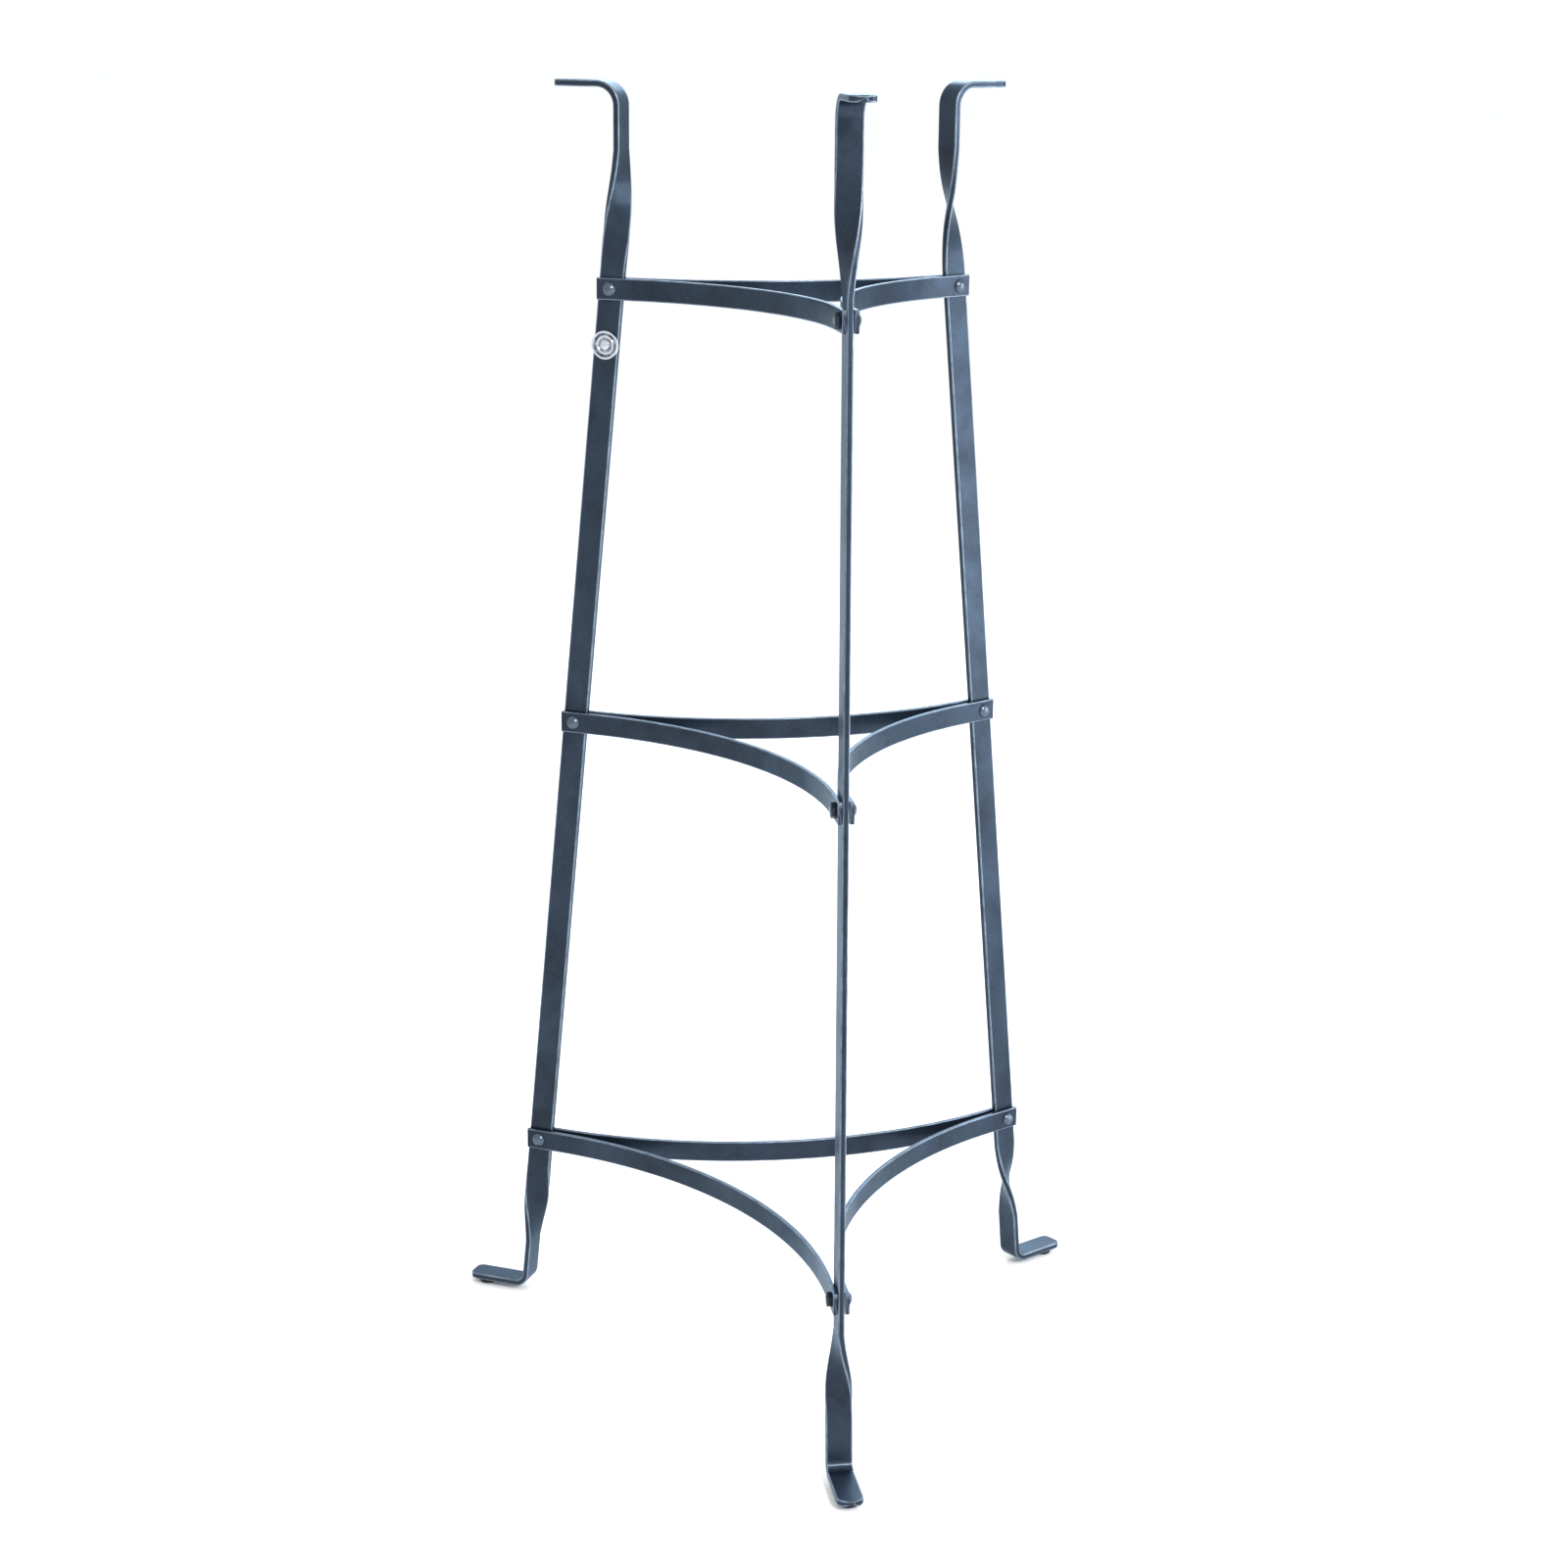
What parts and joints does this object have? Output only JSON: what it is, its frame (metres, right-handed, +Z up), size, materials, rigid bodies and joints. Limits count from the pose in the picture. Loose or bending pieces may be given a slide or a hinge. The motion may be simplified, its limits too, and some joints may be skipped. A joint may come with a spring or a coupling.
{
  "type": "tier stand",
  "caption": "Tall three-legged flat-bar steel stand: legs lean in, twist and end in level tabs and feet, joined by bowed strap tiers with dome-head bolts.",
  "frame": {"origin": "on the floor, on the centre line between the three legs", "axes": "+Z up the centre line; -Y towards the front leg, so +X is to the right seen from the front"},
  "size_m": [0.4883, 0.4288, 0.957],
  "materials": {
    "hammered_steel": "dark blue-grey lightly hammered steel under a clear satin lacquer, brighter along the edges",
    "bolt_steel": "bright tumbled steel",
    "nut_steel": "black oxide, satin",
    "pad_rubber": "matt black",
    "medallion_metal": "bright silver with dark recesses"
  },
  "bodies": {
    "root": {"front_foot_pad": "pad_rubber", "front_leg": "hammered_steel", "left_foot_pad": "pad_rubber", "left_leg": "hammered_steel", "lower_back_strap": "hammered_steel", "lower_front_bolt": "bolt_steel", "lower_front_nut": "nut_steel", "lower_left_bolt": "bolt_steel", "lower_left_nut": "nut_steel", "lower_left_strap": "hammered_steel", "lower_right_bolt": "bolt_steel", "lower_right_nut": "nut_steel", "lower_right_strap": "hammered_steel", "medallion": "medallion_metal", "middle_back_strap": "hammered_steel", "middle_front_bolt": "bolt_steel", "middle_front_nut": "nut_steel", "middle_left_bolt": "bolt_steel", "middle_left_nut": "nut_steel", "middle_left_strap": "hammered_steel", "middle_right_bolt": "bolt_steel", "middle_right_nut": "nut_steel", "middle_right_strap": "hammered_steel", "right_foot_pad": "pad_rubber", "right_leg": "hammered_steel", "upper_back_strap": "hammered_steel", "upper_front_bolt": "bolt_steel", "upper_front_nut": "nut_steel", "upper_left_bolt": "bolt_steel", "upper_left_nut": "nut_steel", "upper_left_strap": "hammered_steel", "upper_right_bolt": "bolt_steel", "upper_right_nut": "nut_steel", "upper_right_strap": "hammered_steel"}
  },
  "joints": []
}
